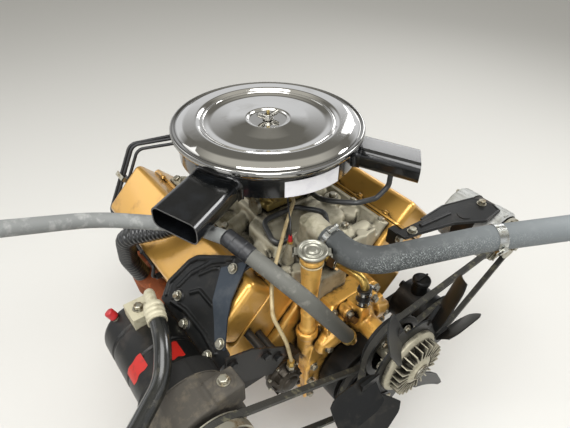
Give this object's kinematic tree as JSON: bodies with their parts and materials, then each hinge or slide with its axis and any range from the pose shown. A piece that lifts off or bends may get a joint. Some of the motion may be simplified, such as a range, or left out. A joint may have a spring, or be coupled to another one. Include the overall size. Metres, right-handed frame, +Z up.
{
  "type": "car engine with accessories",
  "caption": "Dressed pushrod car engine: gold block and covers, chrome-lidded air cleaner with open snorkels, belts, fan, alternator, compressor and hoses.",
  "frame": {"origin": "on the crankshaft's axis, at the rear face of the block where the gearbox housing bolts on", "axes": "+Z up, +Y to the rear along the crankshaft, towards the gearbox, +X towards the driver's side"},
  "size_m": [1.0378, 0.888, 0.759],
  "materials": {
    "gold_paint": "metallic gold engine enamel",
    "black_paint": "semi-gloss black enamel",
    "chrome": "bright chrome plate",
    "cast_aluminium": "weathered sand casting",
    "bare_steel": "plain or zinc plated steel",
    "cast_iron": "rusty cast iron",
    "rubber": "moulded rubber",
    "black_plastic": "moulded plastic"
  },
  "bodies": {
    "engine": {"air_cleaner_base": "black_paint", "air_cleaner_lid": "chrome", "alternator_arm": "black_paint", "alternator_bracket": "black_paint", "alternator_case": "cast_aluminium", "belt_alternator": "rubber", "belt_compressor": "rubber", "belt_power_steering": "rubber", "bypass_elbow": "bare_steel", "bypass_hose": "rubber", "carburettor": "cast_aluminium", "compressor": "black_paint", "compressor_brace": "black_paint", "compressor_bracket_front": "cast_iron", "compressor_bracket_rear": "black_paint", "compressor_bracket_side": "black_paint", "compressor_fitting": "cast_aluminium", "compressor_hose": "rubber", "cylinder_head_driver": "gold_paint", "cylinder_head_passenger": "gold_paint", "distributor": "black_plastic", "engine_block": "gold_paint", "engine_mount_driver": "black_paint", "engine_mount_passenger": "black_paint", "exhaust_manifold_driver": "cast_iron", "exhaust_manifold_passenger": "cast_iron", "fuel_line": "bare_steel", "fuel_pump": "bare_steel", "heater_hose_lower": "rubber", "heater_hose_upper": "rubber", "ignition_coil": "black_paint", "intake_manifold": "cast_aluminium", "oil_filler_cap": "bare_steel", "oil_filler_tube": "gold_paint", "oil_filter": "black_paint", "oil_pan": "gold_paint", "power_steering_pump": "black_paint", "spark_plug_wires_driver": "rubber", "spark_plug_wires_passenger": "rubber", "starter": "black_paint", "thermostat_housing": "cast_aluminium", "timing_cover": "gold_paint", "upper_radiator_hose": "rubber", "vacuum_hoses": "rubber", "valve_cover_driver": "gold_paint", "valve_cover_passenger": "gold_paint", "warm_air_duct": "rubber", "water_pump": "gold_paint", "wing_nut": "chrome"},
    "crank": {"crankshaft": "bare_steel", "crank_damper": "cast_iron", "crank_pulley": "black_paint", "flexplate": "bare_steel"},
    "fan_drive": {"pump_pulley": "black_paint", "fan_clutch": "cast_aluminium", "fan": "black_paint"},
    "alternator_rotor": {"alternator_pulley": "bare_steel"},
    "compressor_clutch": {"compressor_pulley": "bare_steel"},
    "steering_rotor": {"power_steering_pulley": "black_paint"}
  },
  "joints": [
    {"name": "crank_spin", "type": "hinge", "parent": "engine", "child": "crank", "pos_m": [0, -0.3, 0], "axis": [0, 1, 0], "continuous": true},
    {"name": "fan_spin", "type": "hinge", "parent": "engine", "child": "fan_drive", "pos_m": [0, -0.71, 0.172], "axis": [0, 1, 0], "continuous": true},
    {"name": "alternator_spin", "type": "hinge", "parent": "engine", "child": "alternator_rotor", "pos_m": [0.39476, -0.71, 0.23552], "axis": [0, 1, 0], "continuous": true},
    {"name": "compressor_spin", "type": "hinge", "parent": "engine", "child": "compressor_clutch", "pos_m": [-0.39676, -0.69, 0.20052], "axis": [0, 1, 0], "continuous": true},
    {"name": "steering_spin", "type": "hinge", "parent": "engine", "child": "steering_rotor", "pos_m": [0.232, -0.672, 0.038], "axis": [0, 1, 0], "continuous": true}
  ],
  "couplings": [
    {"joint": "fan_spin", "follows": "crank_spin", "ratio": 1.1449},
    {"joint": "alternator_spin", "follows": "crank_spin", "ratio": 2.5484},
    {"joint": "compressor_spin", "follows": "crank_spin", "ratio": 1.2951},
    {"joint": "steering_spin", "follows": "crank_spin", "ratio": 1.2154}
  ]
}
